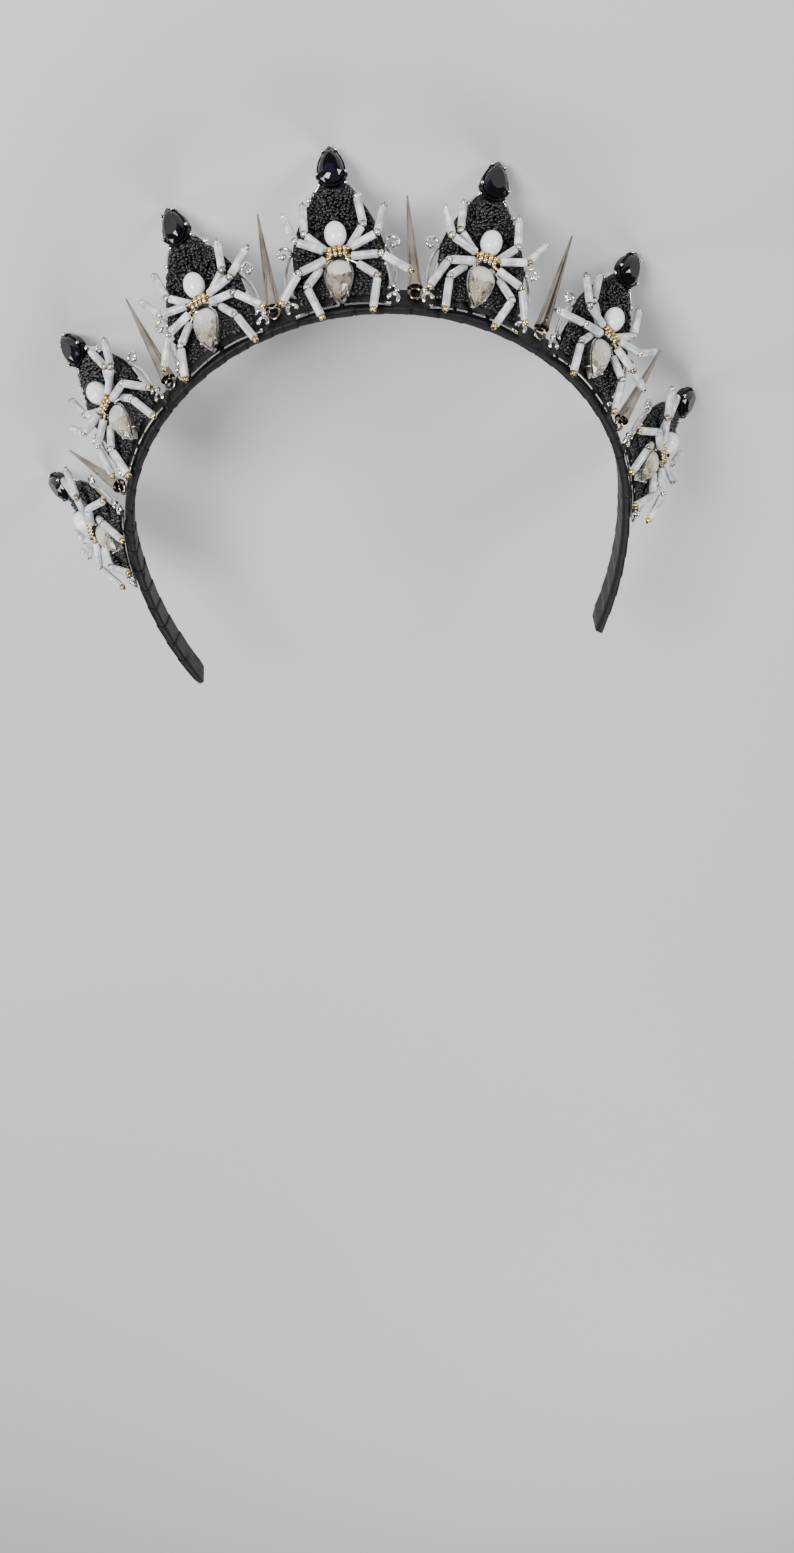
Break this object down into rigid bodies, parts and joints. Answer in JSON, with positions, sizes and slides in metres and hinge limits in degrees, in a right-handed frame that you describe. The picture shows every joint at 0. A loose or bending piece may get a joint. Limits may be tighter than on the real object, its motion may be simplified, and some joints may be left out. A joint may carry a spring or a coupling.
{
  "type": "spiked headband",
  "caption": "Stiff black ribbon-wound headband with a standing crest of beaded spider plaques on silver filigree, each under a black pear stone, and slim metal spikes between them.",
  "frame": {"origin": "centre of the bounding box at its bottom, on the surface where the part rests on the points of its black stones", "axes": "+Y towards the top of the arch, +Z out of the arch's front face, which looks up at rest, and +X to the wearer's left"},
  "size_m": [0.2038, 0.1544, 0.0463],
  "materials": {
    "ribbon": "black satin ribbon wound round a stiff hoop",
    "silver": "cast and stamped filigree, bright silver plate",
    "black_beads": "field of small glossy black glass beads",
    "black_stone": "faceted black glass with a deep blue cast",
    "clear_stone": "faceted clear glass on a silver foil",
    "white_bead": "opaque white bead, glossy",
    "white_glass": "white satin glass tubes",
    "gold_wire": "gold-plated wire, waist and stone cup",
    "spike_metal": "polished steel-grey metal"
  },
  "bodies": {
    "root": {"band": "ribbon", "filigree_1": "silver", "beadwork_1": "black_beads", "black_stone_1": "black_stone", "clear_stone_1": "clear_stone", "head_bead_1": "white_bead", "leg_beads_1": "white_glass", "spider_frame_1": "gold_wire", "filigree_2": "silver", "beadwork_2": "black_beads", "black_stone_2": "black_stone", "clear_stone_2": "clear_stone", "head_bead_2": "white_bead", "leg_beads_2": "white_glass", "spider_frame_2": "gold_wire", "filigree_3": "silver", "beadwork_3": "black_beads", "black_stone_3": "black_stone", "clear_stone_3": "clear_stone", "head_bead_3": "white_bead", "leg_beads_3": "white_glass", "spider_frame_3": "gold_wire", "filigree_4": "silver", "beadwork_4": "black_beads", "black_stone_4": "black_stone", "clear_stone_4": "clear_stone", "head_bead_4": "white_bead", "leg_beads_4": "white_glass", "spider_frame_4": "gold_wire", "filigree_5": "silver", "beadwork_5": "black_beads", "black_stone_5": "black_stone", "clear_stone_5": "clear_stone", "head_bead_5": "white_bead", "leg_beads_5": "white_glass", "spider_frame_5": "gold_wire", "filigree_6": "silver", "beadwork_6": "black_beads", "black_stone_6": "black_stone", "clear_stone_6": "clear_stone", "head_bead_6": "white_bead", "leg_beads_6": "white_glass", "spider_frame_6": "gold_wire", "filigree_7": "silver", "beadwork_7": "black_beads", "black_stone_7": "black_stone", "clear_stone_7": "clear_stone", "head_bead_7": "white_bead", "leg_beads_7": "white_glass", "spider_frame_7": "gold_wire", "spike_1": "spike_metal", "spike_2": "spike_metal", "spike_3": "spike_metal", "spike_4": "spike_metal", "spike_5": "spike_metal", "spike_6": "spike_metal"}
  },
  "joints": []
}
